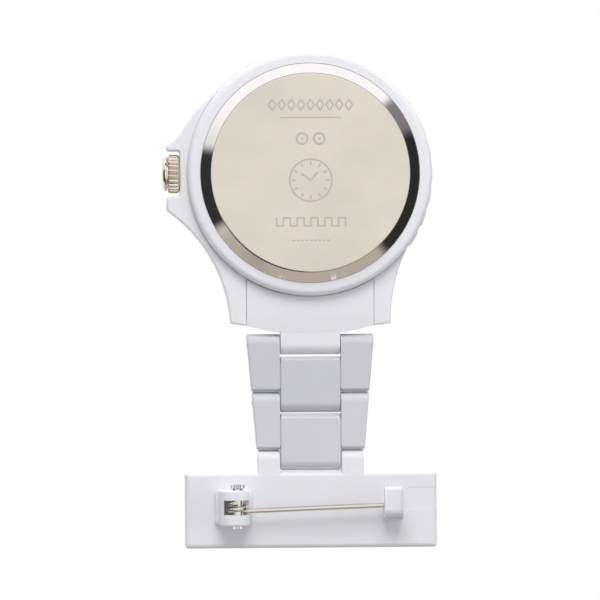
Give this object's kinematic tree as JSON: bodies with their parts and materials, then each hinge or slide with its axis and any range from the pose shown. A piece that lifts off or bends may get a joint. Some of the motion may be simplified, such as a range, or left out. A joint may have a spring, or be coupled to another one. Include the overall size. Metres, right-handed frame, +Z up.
{
  "type": "fob watch",
  "caption": "Nurse's fob watch: plastic pin bar with a brooch needle and catch, hinged links, and a round quartz watch head with a steel snap back, ridged bezel and crown.",
  "frame": {"origin": "centre of the pin bar's back face, the face that lies against the cloth", "axes": "+Z up with the watch hanging below its bar, backs towards -Y, dial towards +Y, crown towards +X, twelve o'clock towards -Z"},
  "size_m": [0.0432, 0.0126, 0.0786],
  "materials": {
    "white_plastic": "white moulded plastic, soft gloss",
    "link_plastic": "white moulded plastic, soft gloss, slightly greyer",
    "bezel_plastic": "white moulded plastic with a ridged grip",
    "back_steel": "fine brushed flat, polished slope",
    "bright_steel": "polished steel",
    "spring_steel": "drawn polished wire",
    "crown_metal": "nickel plated, knurled",
    "crystal_glass": "clear polished mineral glass",
    "clear_nylon": "translucent nylon",
    "black_rubber": "soft black rubber",
    "ring_plastic": "satin white",
    "holder_plastic": "plain moulded plastic",
    "dial_enamel": "satin white dial with black numbers and marks",
    "black_hand": "satin black",
    "red_hand": "satin red",
    "brass": "machined brass",
    "plated_bridge": "nickel plated, fine grain",
    "cell_steel": "stainless button cell",
    "insulator_film": "amber film",
    "board_green": "green circuit board",
    "black_resin": "black epoxy",
    "copper_wire": "enamelled copper winding",
    "soft_iron": "soft magnetic iron",
    "magnet": "sintered magnet on a steel pinion"
  },
  "bodies": {
    "pin_bar": {"pin_bar": "white_plastic", "needle_axle": "bright_steel", "hinge_pin_1": "bright_steel"},
    "needle_spring": {"needle_spring": "spring_steel"},
    "needle": {"needle": "spring_steel"},
    "link_2": {"link_2": "link_plastic", "hinge_pin_2": "bright_steel"},
    "link_1": {"link_1": "link_plastic", "hinge_pin_3": "bright_steel"},
    "watch_head": {"case_body": "white_plastic", "end_link": "white_plastic", "spring_bar_tube": "bright_steel", "spring_bar_tips": "bright_steel", "spring_bar_spring": "spring_steel", "case_back": "back_steel", "back_gasket": "black_rubber", "bezel_spring": "spring_steel", "crystal": "crystal_glass", "crystal_gasket": "clear_nylon", "chapter_ring": "ring_plastic", "dial": "dial_enamel", "crown_tube": "bright_steel", "setting_lever": "bright_steel", "yoke": "bright_steel", "movement_holder": "holder_plastic", "main_plate": "brass", "train_bridge": "plated_bridge", "bridge_screws": "bright_steel", "battery_cell": "cell_steel", "battery_clamp": "brass", "battery_insulator": "insulator_film", "circuit_board": "board_green", "quartz_can": "bright_steel", "driver_chip": "black_resin", "coil_winding": "copper_wire", "coil_core": "soft_iron", "stator": "soft_iron", "dial_washer": "brass"},
    "bezel": {"bezel": "bezel_plastic"},
    "crown_seal": {"crown_gasket": "black_rubber"},
    "crown": {"crown": "crown_metal", "crown_stem": "bright_steel", "clutch_wheel": "bright_steel"},
    "rotor": {"rotor": "magnet"},
    "fifth_wheel": {"fifth_wheel": "brass"},
    "third_wheel": {"third_wheel": "brass"},
    "centre_wheel": {"centre_wheel": "brass"},
    "seconds": {"fourth_wheel": "brass", "seconds_hand": "red_hand"},
    "minutes": {"cannon_pinion": "bright_steel", "minute_hand": "black_hand"},
    "minute_wheel": {"minute_wheel": "brass"},
    "hours": {"hour_wheel": "brass", "hour_hand": "black_hand"}
  },
  "joints": [
    {"name": "needle_swing", "type": "hinge", "parent": "pin_bar", "child": "needle_spring", "pos_m": [0.0117, -0.00375, -0.00055], "axis": [0, 0, 1], "range_deg": [0, 100]},
    {"name": "needle_flex", "type": "hinge", "parent": "needle_spring", "child": "needle", "pos_m": [0.009, -0.00245, -0.0001], "axis": [0, -1, 0], "range_deg": [0, 8.5], "stiffness_Nm_per_rad": 0.3},
    {"name": "bar_hinge", "type": "hinge", "parent": "pin_bar", "child": "link_2", "pos_m": [0, 0.0016, -0.00785], "axis": [1, 0, 0], "range_deg": [-60, 60]},
    {"name": "link_hinge", "type": "hinge", "parent": "link_2", "child": "link_1", "pos_m": [0, 0.0016, -0.01695], "axis": [1, 0, 0], "range_deg": [-60, 60]},
    {"name": "head_hinge", "type": "hinge", "parent": "link_1", "child": "watch_head", "pos_m": [0, 0.0016, -0.02605], "axis": [1, 0, 0], "range_deg": [-60, 60]},
    {"name": "bezel_turn", "type": "hinge", "parent": "watch_head", "child": "bezel", "pos_m": [0, 0.0055, -0.0529], "axis": [0, -1, 0], "continuous": true},
    {"name": "crown_pull", "type": "slide", "parent": "watch_head", "child": "crown_seal", "axis": [1, 0, 0], "range_m": [0, 0.001]},
    {"name": "crown_turn", "type": "hinge", "parent": "crown_seal", "child": "crown", "pos_m": [0.021, 0.0016, -0.0529], "axis": [1, 0, 0], "continuous": true},
    {"name": "seconds_turn", "type": "hinge", "parent": "watch_head", "child": "seconds", "pos_m": [0, 0.001, -0.0529], "axis": [0, -1, 0], "continuous": true},
    {"name": "fifth_wheel_turn", "type": "hinge", "parent": "watch_head", "child": "fifth_wheel", "pos_m": [-0.00244, 0.0005, -0.05201], "axis": [0, -1, 0], "continuous": true},
    {"name": "rotor_turn", "type": "hinge", "parent": "watch_head", "child": "rotor", "pos_m": [-0.00468, 0.0005, -0.0512], "axis": [0, -1, 0], "continuous": true},
    {"name": "third_wheel_turn", "type": "hinge", "parent": "watch_head", "child": "third_wheel", "pos_m": [0.0013, 0.0005, -0.05515], "axis": [0, -1, 0], "continuous": true},
    {"name": "centre_wheel_turn", "type": "hinge", "parent": "watch_head", "child": "centre_wheel", "pos_m": [0, 0.0015, -0.0529], "axis": [0, -1, 0], "continuous": true},
    {"name": "minutes_turn", "type": "hinge", "parent": "watch_head", "child": "minutes", "pos_m": [0, 0.003, -0.0529], "axis": [0, -1, 0], "continuous": true},
    {"name": "minute_wheel_turn", "type": "hinge", "parent": "watch_head", "child": "minute_wheel", "pos_m": [0.00288, 0.003, -0.0529], "axis": [0, -1, 0], "continuous": true},
    {"name": "hours_turn", "type": "hinge", "parent": "watch_head", "child": "hours", "pos_m": [0, 0.0035, -0.0529], "axis": [0, -1, 0], "continuous": true}
  ],
  "couplings": [
    {"joint": "fifth_wheel_turn", "follows": "seconds_turn", "ratio": -5},
    {"joint": "rotor_turn", "follows": "seconds_turn", "ratio": 30},
    {"joint": "third_wheel_turn", "follows": "seconds_turn", "ratio": -0.13333},
    {"joint": "centre_wheel_turn", "follows": "seconds_turn", "ratio": 0.016667},
    {"joint": "minute_wheel_turn", "follows": "minutes_turn", "ratio": -0.33333},
    {"joint": "hours_turn", "follows": "minutes_turn", "ratio": 0.083333}
  ]
}
